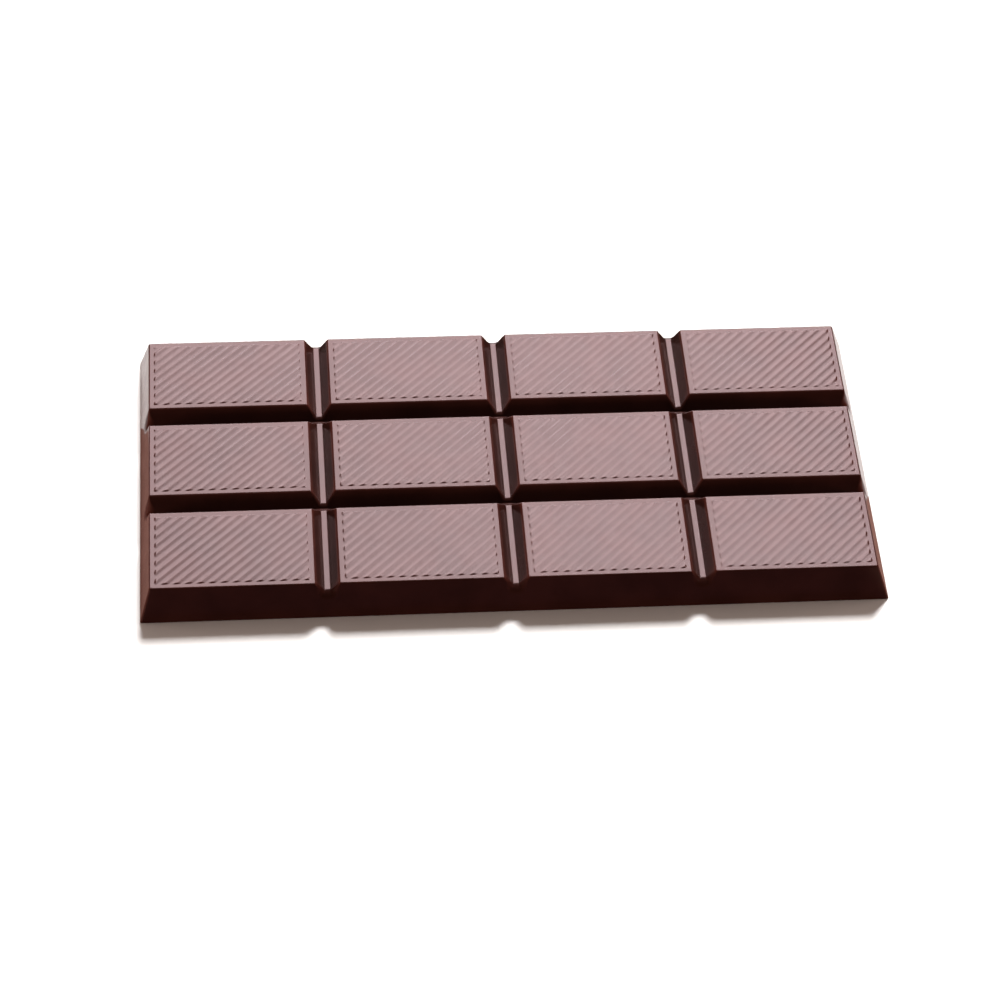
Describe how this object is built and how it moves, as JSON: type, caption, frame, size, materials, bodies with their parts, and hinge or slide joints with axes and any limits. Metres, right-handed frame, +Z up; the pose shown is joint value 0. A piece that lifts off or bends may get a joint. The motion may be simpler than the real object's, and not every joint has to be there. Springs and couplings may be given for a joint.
{
  "type": "chocolate bar",
  "caption": "Moulded dark chocolate bar with sloping sides, snap grooves both ways and diagonal ribs on each segment.",
  "frame": {"origin": "centre of the flat underside, on the surface that the bar lies on", "axes": "+X along the bar's length, +Y to its back, +Z up out of the ribbed top"},
  "size_m": [0.1504, 0.0716, 0.0082],
  "materials": {
    "dark_chocolate": "moulded, satin gloss"
  },
  "bodies": {
    "root": {"chocolate_bar": "dark_chocolate"}
  },
  "joints": []
}
